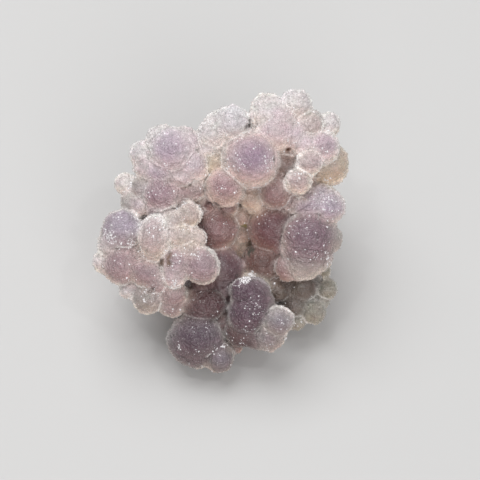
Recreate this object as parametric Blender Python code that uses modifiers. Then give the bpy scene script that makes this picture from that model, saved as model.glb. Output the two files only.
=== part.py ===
"""Botryoidal chalcedony, a loose cluster of violet balls that grew together into one piece.

The balls are placed by hand on the specimen's display face, which looks forwards (-Y) and up, and
a rule covers what they leave bare. All of them are fused with the mass behind them into one solid
and cut off flat where the specimen broke from the rock. +Z is up, and the origin is on the cut.
"""

import math
import random

import bmesh
import bpy
import numpy as np
from mathutils import Vector

MM = 0.001

# The display face: how far its outward direction stands above the horizontal, and the height of
# its centre over the cut. A place on the face is across to the right, up along it and out of it.
FACE_TILT = math.radians(60.0)
FACE_HEIGHT = 10.5 * MM

# Each row below is across, up, out and radius, in millimetres on the display face.
CREST_BALLS = (
    (1.3, 12.3, 4.2, 2.35),
    (-0.25, 12.35, 3.9, 1.85),
    (-1.1, 11.4, 4.0, 1.8),
    (-1.8, 9.6, 3.9, 1.2),
    (5.5, 14.1, 3.0, 2.2),
    (8.85, 14.9, 2.6, 1.95),
    (6.4, 11.6, 3.4, 2.35),
    (8.3, 11.3, 3.2, 1.8),
    (7.0, 13.0, 3.3, 1.9),
    (3.4, 8.3, 4.4, 3.4),
    (-0.4, 9.9, 3.4, 1.3),
    (7.8, 9.8, 2.9, 1.2),
    (10.4, 12.3, 3.0, 1.6),
    (10.9, 13.3, 2.4, 1.0),
    (12.8, 12.5, 1.8, 1.45),
    (12.0, 9.8, 3.5, 2.0),
    (9.9, 10.1, 3.5, 1.6),
    (10.3, 7.9, 4.5, 1.6),
    (9.0, 5.7, 4.6, 1.6),
    (12.6, 7.9, 0.6, 2.7),
    (7.4, 7.8, 2.7, 1.4),
    (-1.0, 8.0, 3.5, 1.4),
)
SHOULDER_BALLS = (
    (-5.8, 9.3, 4.1, 2.6),
    (-7.2, 10.9, 3.3, 1.6),
    (-4.2, 10.2, 3.5, 1.9),
    (-9.4, 9.1, 2.8, 1.55),
    (-8.7, 7.4, 3.0, 1.6),
    (-3.4, 7.7, 4.1, 1.8),
    (-5.0, 6.5, 4.1, 1.5),
    (-7.1, 6.9, 3.9, 1.7),
    (-11.5, 5.5, 2.2, 1.35),
    (-9.6, 5.0, 3.0, 1.35),
    (-7.1, 4.2, 3.7, 2.2),
    (-4.9, 4.0, 3.7, 1.5),
    (-3.2, 4.9, 3.4, 1.4),
    (-2.4, 6.1, 3.5, 1.25),
    (-11.0, 3.3, 3.0, 1.0),
    (-9.5, 2.9, 3.2, 1.1),
    (0.4, 5.0, 4.1, 2.35),
    (-7.5, 2.0, 3.9, 1.2),
    (-1.9, 3.4, 2.4, 1.4),
)
LEFT_BALLS = (
    (-11.6, 0.1, 3.3, 2.45),
    (-12.6, -0.9, 3.0, 1.8),
    (-13.2, -1.9, 2.8, 1.6),
    (-8.0, 0.2, 5.2, 1.6),
    (-8.1, -0.7, 5.3, 1.7),
    (-7.9, -1.6, 5.2, 1.75),
    (-8.2, -2.8, 5.1, 1.1),
    (-3.8, 1.8, 4.8, 1.55),
    (-5.7, 1.1, 4.8, 1.3),
    (-6.1, -0.4, 4.9, 1.1),
    (-4.6, -0.8, 5.0, 1.45),
    (-2.9, -0.9, 4.8, 1.15),
    (-3.8, -2.6, 4.8, 1.5),
    (-2.5, -4.2, 4.7, 2.3),
    (-5.2, -3.8, 4.9, 1.8),
    (-5.4, -4.7, 4.9, 1.5),
    (-5.6, -5.6, 4.8, 1.25),
    (-14.1, -3.8, 2.6, 1.25),
    (-11.8, -4.1, 3.0, 2.45),
    (-10.1, -3.0, 3.6, 1.3),
    (-8.9, -4.8, 4.0, 1.95),
    (-7.7, -6.2, 3.8, 1.45),
    (-11.1, -7.2, 2.7, 1.0),
    (-10.3, -6.2, 2.6, 1.3),
    (-8.9, -8.1, 3.0, 1.85),
    (-5.7, -7.4, 3.2, 1.7),
    (-6.0, -8.9, 2.5, 1.5),
    (-4.3, -8.2, 2.4, 1.2),
)
RIGHT_BALLS = (
    (10.1, -0.6, 2.3, 2.85),
    (9.9, -1.9, 2.3, 2.45),
    (12.7, 2.6, 1.9, 2.0),
    (10.1, 2.9, 2.3, 1.85),
    (11.5, 4.0, 1.6, 1.3),
    (12.4, -0.8, 1.4, 1.85),
    (9.7, -3.6, 2.1, 2.05),
    (7.7, -4.4, 1.7, 1.35),
    (11.5, -3.2, 1.5, 1.4),
)
FOOT_BALLS = (
    (-3.1, -12.6, 0.8, 3.0),
    (-5.0, -13.3, 0.6, 1.65),
    (-4.2, -14.2, 0.6, 1.7),
    (-2.9, -14.7, 0.5, 1.75),
    (-0.3, -15.35, 0.6, 1.85),
    (-1.2, -13.6, 1.0, 1.5),
    (1.7, -13.9, 0.0, 0.8),
    (-2.6, -9.1, 1.6, 2.1),
    (-1.0, -8.8, 2.3, 1.5),
    (0.4, -10.8, 0.5, 1.5),
    (0.3, -12.0, -0.3, 1.6),
    (0.0, -4.6, 0.4, 2.5),
    (0.2, -6.9, 0.7, 2.0),
    (-2.3, -6.8, 1.5, 1.4),
    (2.6, -7.3, 3.2, 1.7),
    (3.9, -7.4, 2.8, 1.65),
    (3.7, -8.7, 3.0, 1.9),
    (3.0, -9.9, 2.8, 2.35),
    (4.9, -9.0, 2.5, 1.5),
    (2.3, -12.1, 1.7, 1.9),
    (6.7, -10.8, 3.1, 1.85),
    (5.8, -12.6, 2.1, 1.8),
    (4.1, -12.8, 1.8, 1.3),
    (6.6, -7.3, 0.0, 1.3),
)
KNOB_BALLS = (
    (9.4, -6.7, -1.5, 2.1),
    (8.7, -9.0, -1.6, 1.8),
    (12.7, -7.1, -1.2, 1.25),
    (12.3, -4.9, -1.1, 0.8),
    (12.0, -8.6, -1.9, 1.15),
    (11.1, -9.9, -1.2, 1.55),
    (9.0, -11.1, -1.6, 1.15),
)
HOLLOW_BALLS = (
    (5.9, 0.2, 0.8, 2.85),
    (-0.6, 0.1, 0.8, 2.6),
    (-1.5, 2.2, 1.3, 1.6),
    (2.4, 1.8, 0.1, 1.4),
    (0.7, 2.9, 1.4, 1.2),
    (7.6, 2.9, 1.7, 1.2),
    (2.6, -0.4, -1.3, 1.2),
    (1.0, -1.8, -1.0, 1.3),
    (5.0, -3.7, -0.2, 2.35),
    (6.4, 4.6, 3.1, 2.0),
    (3.4, 3.7, 2.3, 1.45),
    (4.3, 2.8, 1.7, 1.1),
    (8.6, 3.5, 2.6, 1.2),
    (7.5, -1.9, 1.3, 1.3),
    (9.9, 4.4, 1.2, 1.4),
    (6.4, -5.9, -0.7, 1.3),
)
FACE_BALLS = CREST_BALLS + SHOULDER_BALLS + LEFT_BALLS + RIGHT_BALLS
FACE_BALLS += FOOT_BALLS + KNOB_BALLS + HOLLOW_BALLS

# The solid mass that the balls grew on, as round swellings behind the display face.
MASS_SWELLINGS = (
    (4.0, 8.2, -1.9, 5.3),
    (1.0, 10.3, 0.4, 3.2),
    (9.4, 9.3, 0.2, 3.2),
    (-4.8, 6.4, -1.4, 4.3),
    (-7.4, -2.3, 0.4, 4.4),
    (9.2, -0.5, -1.9, 3.7),
    (0.5, -8.3, -3.3, 4.5),
    (3.0, -9.2, 0.0, 3.0),
    (9.3, -7.8, -3.6, 2.6),
)

# The foot of the mass, an oval swelling that the cut runs through: centre and half widths.
FOOT_CENTRE = Vector((0.5, 1.5, 3.5)) * MM
FOOT_HALF_WIDTHS = Vector((9.0, 7.5, 5.0)) * MM

# The rule that covers the sides and the back. It places the largest balls first and then fills
# the gaps. A ball either clears the cut or reaches well below it, where the cut takes it off.
RULE_RADII = ((2.2 * MM, 2.9 * MM), (1.5 * MM, 2.1 * MM), (1.0 * MM, 1.5 * MM))
TRIES_ON_SWELLING = 160
SINK_SHARE = 0.3
SPACING_SHARE = 0.7
LEAST_CLEARANCE = 0.3 * MM
LEAST_CUT_SHARE = 0.5
MOST_FACING = 0.3
BURIED_SHARE = 0.98
OUTLINE_STEPS = 8
RULE_SEED = 11

# The fused surface: the grid it is remeshed on, the triangles that are kept, how finely each ball
# starts, and the side of the block that cuts the base off flat.
GRID = 0.3 * MM
KEPT_TRIANGLES = 10100
BALL_DETAIL = 3
BLOCK_SIDE = 60.0 * MM

VIOLET = (0.50, 0.40, 0.55, 1.0)
PART_NAME = "chalcedony_cluster"


def clear_scene():
    for old in list(bpy.data.objects):
        bpy.data.objects.remove(old, do_unlink=True)


def new_collection(name):
    made = bpy.data.collections.new(name)
    bpy.context.scene.collection.children.link(made)
    return made


def from_face(across, up, out):
    """A place on the display face, in metres, as a point in the part's own frame."""
    sine = math.sin(FACE_TILT)
    cosine = math.cos(FACE_TILT)
    return Vector((across, up * sine - out * cosine, FACE_HEIGHT + up * cosine + out * sine))


def to_face(point):
    """The across, up and out of a point, in metres."""
    sine = math.sin(FACE_TILT)
    cosine = math.cos(FACE_TILT)
    height = point.z - FACE_HEIGHT
    return Vector((point.x, point.y * sine + height * cosine, height * sine - point.y * cosine))


def placed(rows):
    """The (centre, radius) of each row, in metres."""
    return [(from_face(a * MM, u * MM, o * MM), r * MM) for a, u, o, r in rows]


def random_direction(dice):
    return Vector([dice.gauss(0.0, 1.0) for _ in range(3)]).normalized()


def inside_outline(centre, radius, outline):
    """True where a ball stays inside the outline that the display face shows."""
    place = to_face(centre)
    for step in range(OUTLINE_STEPS):
        angle = step * 2.0 * math.pi / OUTLINE_STEPS
        rim = Vector((place.x + radius * math.cos(angle), place.y + radius * math.sin(angle)))
        if not any((rim - middle).length < reach for middle, reach in outline):
            return False
    return True


def foot_share(point):
    """How far out a point lies in the oval foot: 0 in its middle and 1 on its surface."""
    place = point - FOOT_CENTRE
    return math.sqrt(sum((x / w) ** 2 for x, w in zip(place, FOOT_HALF_WIDTHS)))


def surface_places(dice, swellings):
    """Points all over the swellings and the foot, each with its outward direction."""
    for _ in range(TRIES_ON_SWELLING):
        for centre, radius in swellings:
            direction = random_direction(dice)
            yield centre + direction * radius, direction
        direction = random_direction(dice)
        half_widths = [w * d for w, d in zip(FOOT_HALF_WIDTHS, direction)]
        yield FOOT_CENTRE + Vector(half_widths), direction


def is_buried(point, swellings):
    """True where a point lies inside the foot or a swelling."""
    if foot_share(point) < BURIED_SHARE:
        return True
    return any((point - centre).length < BURIED_SHARE * radius for centre, radius in swellings)


def suits_cut(centre, radius):
    """True where a ball is clear of the cut, or is cut off well inside."""
    return centre.z > radius + LEAST_CLEARANCE or centre.z < LEAST_CUT_SHARE * radius


def rule_balls(face_balls, swellings):
    """Balls over the sides and the back, each one clear enough of those before it."""
    dice = random.Random(RULE_SEED)
    outline = [(to_face(c).to_2d(), r) for c, r in face_balls + swellings]
    face_out = from_face(0.0, 0.0, 1.0) - from_face(0.0, 0.0, 0.0)
    taken = list(face_balls)
    for least, most in RULE_RADII:
        for point, direction in surface_places(dice, swellings):
            radius = dice.uniform(least, most)
            centre = point - direction * radius * SINK_SHARE
            if direction.dot(face_out) > MOST_FACING or not suits_cut(centre, radius):
                continue
            if is_buried(point, swellings) or not inside_outline(centre, radius, outline):
                continue
            if all((centre - c).length > SPACING_SHARE * (radius + r) for c, r in taken):
                taken.append((centre, radius))
    return taken[len(face_balls):]


def unit_ball():
    """The corners and the triangles of a ball of radius 1."""
    shape = bmesh.new()
    bmesh.ops.create_icosphere(shape, subdivisions=BALL_DETAIL, radius=1.0)
    corners = np.array([corner.co[:] for corner in shape.verts])
    triangles = np.array([[corner.index for corner in face.verts] for face in shape.faces])
    shape.free()
    return corners, triangles


def overlapping_balls(balls):
    """A mesh of every ball, given as centre and half widths, still passing through each other."""
    corners, triangles = unit_ball()
    all_corners = np.concatenate([corners * widths + centre for centre, widths in balls])
    all_triangles = np.concatenate([triangles + n * len(corners) for n in range(len(balls))])
    data = bpy.data.meshes.new(PART_NAME)
    data.from_pydata(all_corners.tolist(), [], all_triangles.tolist())
    return data


def chalcedony_material():
    made = bpy.data.materials.new("violet_chalcedony")
    made.use_nodes = True
    shader = made.node_tree.nodes["Principled BSDF"]
    shader.inputs["Base Color"].default_value = VIOLET
    shader.inputs["Roughness"].default_value = 0.35
    shader.inputs["Metallic"].default_value = 0.0
    shader.inputs["Subsurface Weight"].default_value = 0.5
    shader.inputs["Subsurface Radius"].default_value = (1.0, 0.8, 1.0)
    shader.inputs["Subsurface Scale"].default_value = 1.0 * MM
    return made


def cut_block(collection):
    """The block that cuts the cluster off flat at the height of its base."""
    bpy.ops.mesh.primitive_cube_add(size=BLOCK_SIDE, location=(0.0, 0.0, -BLOCK_SIDE / 2.0))
    block = bpy.context.object
    block.name = "base_cut"
    block.hide_render = True
    block.display_type = "WIRE"
    for holder in list(block.users_collection):
        holder.objects.unlink(block)
    collection.objects.link(block)
    return block


def fuse(cluster, block):
    """One closed surface round every ball, with few triangles and a flat base."""
    remesh = cluster.modifiers.new("fuse_balls", "REMESH")
    remesh.mode = "VOXEL"
    remesh.voxel_size = GRID
    bpy.context.view_layer.update()
    evaluated = cluster.evaluated_get(bpy.context.evaluated_depsgraph_get())
    triangles = sum(len(face.vertices) - 2 for face in evaluated.data.polygons)

    thin = cluster.modifiers.new("thin_out", "DECIMATE")
    thin.decimate_type = "COLLAPSE"
    thin.ratio = KEPT_TRIANGLES / triangles

    cut = cluster.modifiers.new("cut_base", "BOOLEAN")
    cut.operation = "DIFFERENCE"
    cut.solver = "EXACT"
    cut.object = block


def build_cluster(collection, block):
    face_balls = placed(FACE_BALLS)
    swellings = placed(MASS_SWELLINGS)
    balls = face_balls + rule_balls(face_balls, swellings)

    solids = [(np.array(centre), np.full(3, radius)) for centre, radius in balls + swellings]
    solids.append((np.array(FOOT_CENTRE), np.array(FOOT_HALF_WIDTHS)))
    data = overlapping_balls(solids)
    data.materials.append(chalcedony_material())

    cluster = bpy.data.objects.new(PART_NAME, data)
    collection.objects.link(cluster)
    fuse(cluster, block)
    return cluster


def main():
    clear_scene()
    parts = new_collection("botryoidal_chalcedony")
    cutters = new_collection("cutters")
    build_cluster(parts, cut_block(cutters))


main()
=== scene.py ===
"""Looks of the botryoidal chalcedony: a fused cluster of violet balls under a sugary crust.

The balls stand where the solid has them. A finer copy of their fused surface replaces the solid,
gets its colours ball by ball, and carries a crust of small crystals.

A ball's pole is the point of it that looks straight outwards. How much a place on a ball faces the
pole is a cosine: 1 at the pole, 0 half way round the ball, and -1 on its far side.
"""

import math
import random
from collections import namedtuple

import bmesh
import bpy
import numpy as np
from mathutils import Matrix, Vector, noise

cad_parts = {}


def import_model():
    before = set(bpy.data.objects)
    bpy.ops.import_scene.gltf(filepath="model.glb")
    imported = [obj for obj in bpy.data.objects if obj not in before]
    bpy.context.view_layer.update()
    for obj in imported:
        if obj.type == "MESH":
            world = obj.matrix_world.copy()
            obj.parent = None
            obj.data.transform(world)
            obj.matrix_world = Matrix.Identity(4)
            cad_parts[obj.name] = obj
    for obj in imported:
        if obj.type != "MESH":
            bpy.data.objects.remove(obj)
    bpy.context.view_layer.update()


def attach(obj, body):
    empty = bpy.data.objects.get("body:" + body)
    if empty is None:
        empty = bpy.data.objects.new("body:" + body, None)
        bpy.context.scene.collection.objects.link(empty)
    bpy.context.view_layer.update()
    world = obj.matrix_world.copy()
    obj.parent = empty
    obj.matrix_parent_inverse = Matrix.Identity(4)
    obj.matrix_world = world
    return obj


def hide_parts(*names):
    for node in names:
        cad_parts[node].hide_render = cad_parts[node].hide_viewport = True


MM = 0.001
NODE = "chalcedony_cluster"

# The display face, as in the solid: how far its outward direction stands above the horizontal, and
# the height of its centre over the cut. A place on it is across to the right, up along it and out.
FACE_TILT = math.radians(60.0)
FACE_HEIGHT = 10.5 * MM

# The camera looks straight at the display face with a long lens, as the photo shows little
# perspective. The frame is as wide at the specimen as the photo's.
CAMERA_DISTANCE = 0.35
FRAME_WIDTH = 57.6 * MM
AIM_ON_FACE = (2.16 * MM, -1.2 * MM, 0.0)
SENSOR_WIDTH = 36.0
CLIP_START = 0.01

# The lights: name, place, width and watts. They aim at the middle of the specimen.
LIGHTS = (
    ("key", (-0.08, 0.18, 0.40), 0.35, 1.5),
    ("spark_left", (-0.10, -0.02, 0.42), 0.02, 0.1),
    ("spark_right", (0.14, -0.05, 0.40), 0.02, 0.1),
    ("fill", (0.10, -0.35, 0.30), 0.40, 1.0),
)
LIGHT_AIM = (0.0, 0.0, 0.01)
SURROUNDINGS_COLOUR = (1.0, 0.98, 0.96, 1.0)
SURROUNDINGS_STRENGTH = 0.46
FLOOR_SIDE = 1.5
FLOOR_FINISH = {"Base Color": (0.5, 0.5, 0.5, 1.0), "Roughness": 0.6}

# Each row below is across, up, out and radius, in millimetres on the display face, and a tint.
CREST_BALLS = (
    (1.3, 12.3, 4.2, 2.35, "bluish"),
    (-0.25, 12.35, 3.9, 1.85, "bluish"),
    (-1.1, 11.4, 4.0, 1.8, "bluish"),
    (-1.8, 9.6, 3.9, 1.2, "frost"),
    (5.5, 14.1, 3.0, 2.2, "frost"),
    (8.85, 14.9, 2.6, 1.95, "frost"),
    (6.4, 11.6, 3.4, 2.35, "pink_frost"),
    (8.3, 11.3, 3.2, 1.8, "pink_frost"),
    (7.0, 13.0, 3.3, 1.9, "pink_frost"),
    (3.4, 8.3, 4.4, 3.4, "violet"),
    (-0.4, 9.9, 3.4, 1.3, "frost"),
    (7.8, 9.8, 2.9, 1.2, "pink"),
    (10.4, 12.3, 3.0, 1.6, "cream"),
    (10.9, 13.3, 2.4, 1.0, "clear_frost"),
    (12.8, 12.5, 1.8, 1.45, "frost"),
    (12.0, 9.8, 3.5, 2.0, "rose_frost"),
    (9.9, 10.1, 3.5, 1.6, "pink_frost"),
    (10.3, 7.9, 4.5, 1.6, "snout"),
    (9.0, 5.7, 4.6, 1.6, "snout"),
    (12.6, 7.9, 0.6, 2.7, "tan"),
    (7.4, 7.8, 2.7, 1.4, "brown"),
    (-1.0, 8.0, 3.5, 1.4, "ochre"),
)
SHOULDER_BALLS = (
    (-5.8, 9.3, 4.1, 2.6, "lavender"),
    (-7.2, 10.9, 3.3, 1.6, "frost"),
    (-4.2, 10.2, 3.5, 1.9, "pink_frost"),
    (-9.4, 9.1, 2.8, 1.55, "frost"),
    (-8.7, 7.4, 3.0, 1.6, "pink_frost"),
    (-3.4, 7.7, 4.1, 1.8, "pink_frost"),
    (-5.0, 6.5, 4.1, 1.5, "pink_frost"),
    (-7.1, 6.9, 3.9, 1.7, "lavender"),
    (-11.5, 5.5, 2.2, 1.35, "frost"),
    (-9.6, 5.0, 3.0, 1.35, "clear_frost"),
    (-7.1, 4.2, 3.7, 2.2, "rose_violet"),
    (-4.9, 4.0, 3.7, 1.5, "mauve"),
    (-3.2, 4.9, 3.4, 1.4, "pink"),
    (-2.4, 6.1, 3.5, 1.25, "cream"),
    (-11.0, 3.3, 3.0, 1.0, "clear_frost"),
    (-9.5, 2.9, 3.2, 1.1, "pink_frost"),
    (0.4, 5.0, 4.1, 2.35, "rose"),
    (-7.5, 2.0, 3.9, 1.2, "pink"),
    (-1.9, 3.4, 2.4, 1.4, "mauve"),
)
LEFT_BALLS = (
    (-11.6, 0.1, 3.3, 2.45, "bluish_violet"),
    (-12.6, -0.9, 3.0, 1.8, "bluish_violet"),
    (-13.2, -1.9, 2.8, 1.6, "frost"),
    (-8.0, 0.2, 5.2, 1.6, "snout"),
    (-8.1, -0.7, 5.3, 1.7, "snout"),
    (-7.9, -1.6, 5.2, 1.75, "snout"),
    (-8.2, -2.8, 5.1, 1.1, "cream"),
    (-3.8, 1.8, 4.8, 1.55, "cream"),
    (-5.7, 1.1, 4.8, 1.3, "cream"),
    (-6.1, -0.4, 4.9, 1.1, "cream"),
    (-4.6, -0.8, 5.0, 1.45, "cream"),
    (-2.9, -0.9, 4.8, 1.15, "cream"),
    (-3.8, -2.6, 4.8, 1.5, "cream"),
    (-2.5, -4.2, 4.7, 2.3, "pink"),
    (-5.2, -3.8, 4.9, 1.8, "pink"),
    (-5.4, -4.7, 4.9, 1.5, "pink_frost"),
    (-5.6, -5.6, 4.8, 1.25, "pink_frost"),
    (-14.1, -3.8, 2.6, 1.25, "frost"),
    (-11.8, -4.1, 3.0, 2.45, "pink"),
    (-10.1, -3.0, 3.6, 1.3, "pink"),
    (-8.9, -4.8, 4.0, 1.95, "pink"),
    (-7.7, -6.2, 3.8, 1.45, "pink"),
    (-11.1, -7.2, 2.7, 1.0, "frost"),
    (-10.3, -6.2, 2.6, 1.3, "pink"),
    (-8.9, -8.1, 3.0, 1.85, "clear_frost"),
    (-5.7, -7.4, 3.2, 1.7, "pink"),
    (-6.0, -8.9, 2.5, 1.5, "pink"),
    (-4.3, -8.2, 2.4, 1.2, "brown"),
)
RIGHT_BALLS = (
    (10.1, -0.6, 2.3, 2.85, "dusky_violet"),
    (9.9, -1.9, 2.3, 2.45, "dusky_violet"),
    (12.7, 2.6, 1.9, 2.0, "lavender"),
    (10.1, 2.9, 2.3, 1.85, "lavender"),
    (11.5, 4.0, 1.6, 1.3, "lavender"),
    (12.4, -0.8, 1.4, 1.85, "clear_frost"),
    (9.7, -3.6, 2.1, 2.05, "grey_pink"),
    (7.7, -4.4, 1.7, 1.35, "mauve"),
    (11.5, -3.2, 1.5, 1.4, "grey_pink"),
)
# The foot's dark tints are partly painted shade, as it lies low under the rest.
FOOT_BALLS = (
    (-3.1, -12.6, 0.8, 3.0, "grey_violet"),
    (-5.0, -13.3, 0.6, 1.65, "grey_violet"),
    (-4.2, -14.2, 0.6, 1.7, "grey_violet"),
    (-2.9, -14.7, 0.5, 1.75, "grey_violet"),
    (-0.3, -15.35, 0.6, 1.85, "pale_violet"),
    (-1.2, -13.6, 1.0, 1.5, "deep_violet"),
    (1.7, -13.9, 0.0, 0.8, "mauve"),
    (-2.6, -9.1, 1.6, 2.1, "deep_plum"),
    (-1.0, -8.8, 2.3, 1.5, "deep_plum"),
    (0.4, -10.8, 0.5, 1.5, "brown"),
    (0.3, -12.0, -0.3, 1.6, "dusk"),
    (0.0, -4.6, 0.4, 2.5, "dusk"),
    (0.2, -6.9, 0.7, 2.0, "dusk"),
    (-2.3, -6.8, 1.5, 1.4, "plum"),
    (2.6, -7.3, 3.2, 1.7, "deep_violet"),
    (3.9, -7.4, 2.8, 1.65, "deep_violet"),
    (3.7, -8.7, 3.0, 1.9, "deep_violet"),
    (3.0, -9.9, 2.8, 2.35, "deep_violet"),
    (4.9, -9.0, 2.5, 1.5, "deep_plum"),
    (2.3, -12.1, 1.7, 1.9, "deep_plum"),
    (6.7, -10.8, 3.1, 1.85, "sugared_violet"),
    (5.8, -12.6, 2.1, 1.8, "sugared_violet"),
    (4.1, -12.8, 1.8, 1.3, "deep_plum"),
    (6.6, -7.3, 0.0, 1.3, "smoke"),
)
KNOB_BALLS = (
    (9.4, -6.7, -1.5, 2.1, "smoke"),
    (8.7, -9.0, -1.6, 1.8, "smoke"),
    (12.7, -7.1, -1.2, 1.25, "clear"),
    (12.3, -4.9, -1.1, 0.8, "clear"),
    (12.0, -8.6, -1.9, 1.15, "clear"),
    (11.1, -9.9, -1.2, 1.55, "clear"),
    (9.0, -11.1, -1.6, 1.15, "clear"),
)
# The hollow's dark plum and brown tints are partly painted shade in the recess.
HOLLOW_BALLS = (
    (5.9, 0.2, 0.8, 2.85, "plum"),
    (-0.6, 0.1, 0.8, 2.6, "mauve"),
    (-1.5, 2.2, 1.3, 1.6, "mauve"),
    (2.4, 1.8, 0.1, 1.4, "milk"),
    (0.7, 2.9, 1.4, 1.2, "mauve"),
    (7.6, 2.9, 1.7, 1.2, "mauve"),
    (2.6, -0.4, -1.3, 1.2, "milk"),
    (1.0, -1.8, -1.0, 1.3, "milk"),
    (5.0, -3.7, -0.2, 2.35, "brown"),
    (6.4, 4.6, 3.1, 2.0, "mauve"),
    (3.4, 3.7, 2.3, 1.45, "milk"),
    (4.3, 2.8, 1.7, 1.1, "milk"),
    (8.6, 3.5, 2.6, 1.2, "pink"),
    (7.5, -1.9, 1.3, 1.3, "plum"),
    (9.9, 4.4, 1.2, 1.4, "cream"),
    (6.4, -5.9, -0.7, 1.3, "smoke"),
)

# Each group, with how far the creases between its balls are filled.
FACE_GROUPS = (
    (CREST_BALLS, 0.35 * MM),
    (SHOULDER_BALLS, 0.6 * MM),
    (LEFT_BALLS, 0.25 * MM),
    (RIGHT_BALLS, 0.7 * MM),
    (FOOT_BALLS, 0.4 * MM),
    (KNOB_BALLS, 0.12 * MM),
    (HOLLOW_BALLS, 0.35 * MM),
)
FACE_BALLS = [row for rows, _ in FACE_GROUPS for row in rows]

# How far the creases of the sides and the back are filled, and how much of any filling is left
# where a crease is deep.
RULED_FILL = 0.35 * MM
DEEP_CREASE_FILL = 0.3

# The solid mass that the balls grew on, as round swellings behind the display face.
MASS_SWELLINGS = (
    (4.0, 8.2, -1.9, 5.3),
    (1.0, 10.3, 0.4, 3.2),
    (9.4, 9.3, 0.2, 3.2),
    (-4.8, 6.4, -1.4, 4.3),
    (-7.4, -2.3, 0.4, 4.4),
    (9.2, -0.5, -1.9, 3.7),
    (0.5, -8.3, -3.3, 4.5),
    (3.0, -9.2, 0.0, 3.0),
    (9.3, -7.8, -3.6, 2.6),
)

# The foot of the mass, an oval swelling that the cut runs through: centre and half widths.
FOOT_CENTRE = Vector((0.5, 1.5, 3.5)) * MM
FOOT_HALF_WIDTHS = Vector((9.0, 7.5, 5.0)) * MM

# The rule that covers the sides and the back, as in the solid. It places the largest balls first
# and then fills the gaps. A ball either clears the cut or reaches well below it.
RULE_RADII = ((2.2 * MM, 2.9 * MM), (1.5 * MM, 2.1 * MM), (1.0 * MM, 1.5 * MM))
TRIES_ON_SWELLING = 160
SINK_SHARE = 0.3
SPACING_SHARE = 0.7
LEAST_CLEARANCE = 0.3 * MM
LEAST_CUT_SHARE = 0.5
MOST_FACING = 0.3
BURIED_SHARE = 0.98
OUTLINE_STEPS = 8
RULE_SEED = 11

# Tints: the colour in the middle of a ball, the colour of its rim, how frosted it is, how much a
# place must face the ball's pole to be half of each colour, and how strong its wrinkles are. The
# tints grow darker from the crest down to the foot and into the hollow: partly the stone's own
# colour and partly painted shade, as the lower and deeper balls get less light.
Tint = namedtuple("Tint", "core rim frost half_pole wrinkle")
TINTS = {
    "frost": Tint("c2bbbb", "e8e4e1", 0.9, 0.5, 0.2),
    "bluish": Tint("bdb6b7", "e4e1e0", 0.9, 0.5, 0.2),
    "pink_frost": Tint("b8a9af", "dbd2d1", 0.75, 0.55, 0.3),
    "rose_frost": Tint("a48f99", "dfd2d0", 0.8, 0.7, 0.4),
    "snout": Tint("a69495", "e8e0dc", 0.9, 0.6, 0.3),
    "clear_frost": Tint("918885", "c4bdb9", 0.65, 0.5, 0.3),
    "lavender": Tint("a292a0", "d2c9c9", 0.6, 0.65, 0.8),
    "violet": Tint("7e667f", "c6b3b1", 0.5, 0.8, 0.2),
    "rose_violet": Tint("90777f", "d3c6c6", 0.5, 0.55, 1.0),
    "dusky_violet": Tint("735c66", "ab9a99", 0.5, 0.5, 1.0),
    "bluish_violet": Tint("988c97", "c7bfc2", 0.7, 0.35, 0.4),
    "pink": Tint("927c81", "bdaeaa", 0.7, 0.55, 0.6),
    "rose": Tint("8d6e75", "c4b0ab", 0.45, 0.72, 0.4),
    "grey_pink": Tint("9f9695", "c1bab7", 0.6, 0.55, 0.4),
    "mauve": Tint("826465", "a98f89", 0.35, 0.55, 0.3),
    "plum": Tint("5f3d43", "96756f", 0.1, 0.6, 0.2),
    "dusk": Tint("563e45", "957c81", 0.1, 0.5, 0.1),
    "brown": Tint("593a35", "876a63", 0.15, 0.6, 0.1),
    "cream": Tint("ad9f9a", "dacdc6", 0.8, 0.55, 0.4),
    "ochre": Tint("a69680", "c8b8a2", 0.6, 0.5, 0.2),
    "tan": Tint("af9f90", "d8d0c3", 0.6, 0.5, 0.1),
    "milk": Tint("b29b8f", "d8c8b9", 0.3, 0.6, 0.1),
    "smoke": Tint("635750", "615550", 0.15, 0.6, 0.2),
    "clear": Tint("888278", "a09e95", 0.55, 0.7, 0.4),
    "deep_violet": Tint("543d4a", "66585f", 0.4, 0.6, 1.0),
    "deep_plum": Tint("53393d", "554042", 0.2, 0.5, 0.6),
    "pale_violet": Tint("6c636c", "867d7c", 0.5, 0.7, 0.8),
    "grey_violet": Tint("493544", "7b7174", 0.6, 0.72, 1.0),
    "sugared_violet": Tint("6f636c", "9f9796", 0.85, 0.8, 0.5),
    "rock": Tint("877c6d", "a09482", 0.3, 0.6, 0.0),
}

# What the balls of the sides and the back are tinted, from the common to the rare: the size of the
# patches of like tints, how far the tint drifts from patch to patch and scatters within one, and
# how many steps along the list one unit of that is. Lower than the rock height they are bare rock.
RULED_TINTS = ("lavender", "pink_frost", "violet", "pink", "frost", "rose_violet", "cream", "tan")
TINT_PATCH_SIZE = 9.0 * MM
TINT_DRIFT = 3.0
TINT_SCATTER = 1.2
TINT_STEPS = 1.6
TINT_SEED = 12
ROCK_HEIGHT = 2.2 * MM

# The fine surface: the grid that it is remeshed on, how finely each ball starts, and the size and
# the height of the swells, the lobes and the grains that push it in and out.
GRID = 0.235 * MM
BALL_DETAIL = 4
SWELL_SIZE = 2.6 * MM
SWELL_HEIGHT = 0.22 * MM
LOBE_SIZE = 1.4 * MM
LOBE_HEIGHT = 0.25 * MM
GRAIN_SIZE = 0.6 * MM
GRAIN_HEIGHT = 0.28 * MM

# Lobes and grains stand out where a scattered point is nearer than this, in units of their size.
# Some of the grain is left where a ball is bare.
CELL_MIDDLE = 0.45
BARE_GRAIN = 0.3

# How little a place faces its ball's pole where the grain starts to stand out and where it is
# strongest, how strong it is at the pole itself, and how much lighter or darker a grain can be.
GRAIN_POLES = (0.9, 0.45)
GRAIN_AT_POLE = 0.4
SPECKLE = 0.4

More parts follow.
